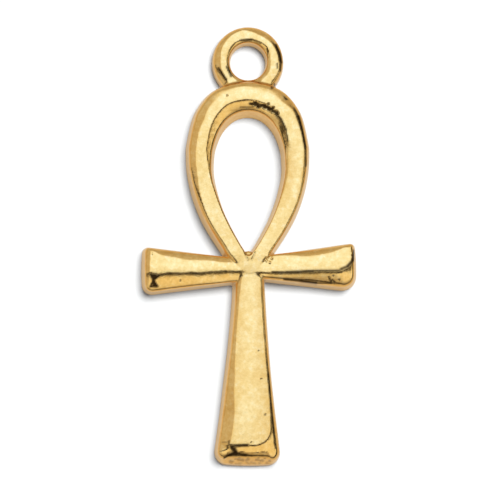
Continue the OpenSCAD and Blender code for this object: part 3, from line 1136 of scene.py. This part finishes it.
# %% The parts of the tent
in_box = w.step(right, -28, -22) * w.step(up, 40, 34) * w.step(right + up, 56, 49)
in_slit = w.step(past_slit.math("ABSOLUTE"), slit_half + 1, slit_half - 1) * w.step(up, 28, 22)
beyond = w.step(past_slit, 0.0, 1.0) * w.step(up, 26, 20)
above_horizon = w.step(dz, 0.34, 0.46)
dark_right = w.step(right, 44, 49) * w.step(up, 60, 35) * above_horizon
dark_patch = round_patch(45, 31, 13, 0.15)
dark_front = w.step(up, -43, -48) * above_horizon
near_table = w.step(dz, 0.55, 0.25)
box_heart = round_patch(2, 16, 18, 0.9)
print("tent has", len(tent.node_tree.nodes), "nodes so far")

# %% Colour the tent
box_cloth = w.blend(box_heart, (0.88, 0.87, 0.74, 1), (1.12, 1.41, 1.97, 1))
dim_cloth = w.blend(w.step(up, 38, 50), (0.64, 0.60, 0.52, 1), (0.52, 0.47, 0.37, 1))
lower_cloth = w.blend(w.step(up, -20, -36), (0.99, 0.97, 0.84, 1), (0.50, 0.47, 0.42, 1))
lower_cloth = w.blend(w.step(right, -18, -28), lower_cloth, dim_cloth)

cloth = w.blend(in_box, dim_cloth, box_cloth)
cloth = w.blend(beyond, cloth, lower_cloth)
cloth = w.blend(near_table, cloth, (0.56, 0.50, 0.42, 1))
cloth = w.blend(in_slit * 0.97, cloth, (0.03, 0.025, 0.02, 1))
cloth = w.blend(dark_front * 0.9, cloth, (0.05, 0.04, 0.03, 1))
cloth = w.blend(dark_right.math("MAXIMUM", dark_patch), cloth, (0.02, 0.018, 0.015, 1))
print("tent has", len(tent.node_tree.nodes), "nodes with its colours")

# %% [markdown]
# ## Who sees the tent
#
# Only the gold should see the drawn tent. On the table it would mix with the lamp's shadow,
# so light that has bounced off the card finds a dim even grey, and the camera, should it look
# past the table, finds plain white paper.

# %% Hang the tent
on_table = w.node("ShaderNodeLightPath", out="Diffuse Depth").math("MINIMUM", 1.0)
seen = w.node("ShaderNodeLightPath", out="Is Camera Ray")
cloth = w.blend(on_table, cloth, (0.17, 0.17, 0.18, 1))
cloth = w.blend(seen, cloth, (0.95, 0.96, 0.98, 1))
tent_glow = w.node("ShaderNodeBackground", None, {"Color": cloth, "Strength": 1.0})
w.node("ShaderNodeOutputWorld", None, {"Surface": tent_glow})
print("tent uses", len(tent.node_tree.nodes), "nodes")

# %% [markdown]
# ## One stronger lamp for the shadow
#
# In the photograph a soft narrow shadow falls to the left and below, so one lamp stands
# higher and to the upper right. A round area lamp gives the shadow its soft edge: the wider
# the lamp, the softer the edge. It lights the table, and is kept out of the gold.

# %% Hang the lamp
lamp_data = bpy.data.lights.new("table_lamp", "AREA")
lamp_data.shape = "DISK"
lamp_data.size = 0.285
lamp_data.energy = 12.6
lamp_data.color = (1.0, 0.99, 0.97)
lamp = bpy.data.objects.new("table_lamp", lamp_data)
lamp.location = (0.115, 0.145, 0.70)
lamp.rotation_euler = (-lamp.location).to_track_quat("-Z", "Y").to_euler()
lamp.visible_glossy = False
lamp.visible_camera = False
bpy.context.collection.objects.link(lamp)
print("lamp stands", round(lamp.location.length, 2), "m away")

# %% [markdown]
# ## The camera
#
# The photograph looks almost straight down: a little more of the left and lower side walls
# shows than of the others, so the camera leans two degrees left and four towards the foot.
# A long lens from a fair distance keeps the outlines nearly parallel.

# %% Set up the camera
picture, sensor, lens, pixels_per_mm = 500, 36.0, 300.0, 13.725
distance = lens / sensor * picture / pixels_per_mm * MM
back = Vector((-math.tan(lean_left), -math.tan(lean_down), 1)).normalized()
picture_right = Vector((0, 1, 0)).cross(back).normalized()
picture_up = back.cross(picture_right)
off_centre = Vector((picture / 2 - charm_px, charm_py - picture / 2, 0))
aim = off_centre / pixels_per_mm * MM
camera_data = bpy.data.cameras.new("camera")
camera_data.lens = lens
camera_data.sensor_width = sensor
camera_data.clip_start, camera_data.clip_end = 0.01, 10
camera = bpy.data.objects.new("camera", camera_data)
camera.location = aim + back * distance
camera.rotation_mode = "QUATERNION"
camera.rotation_quaternion = Matrix((picture_right, picture_up, back)).transposed().to_quaternion()
bpy.context.collection.objects.link(camera)
bpy.context.scene.camera = camera
bpy.context.scene.view_settings.view_transform = "Standard"
print("camera is", round(distance * 1000), "mm away")
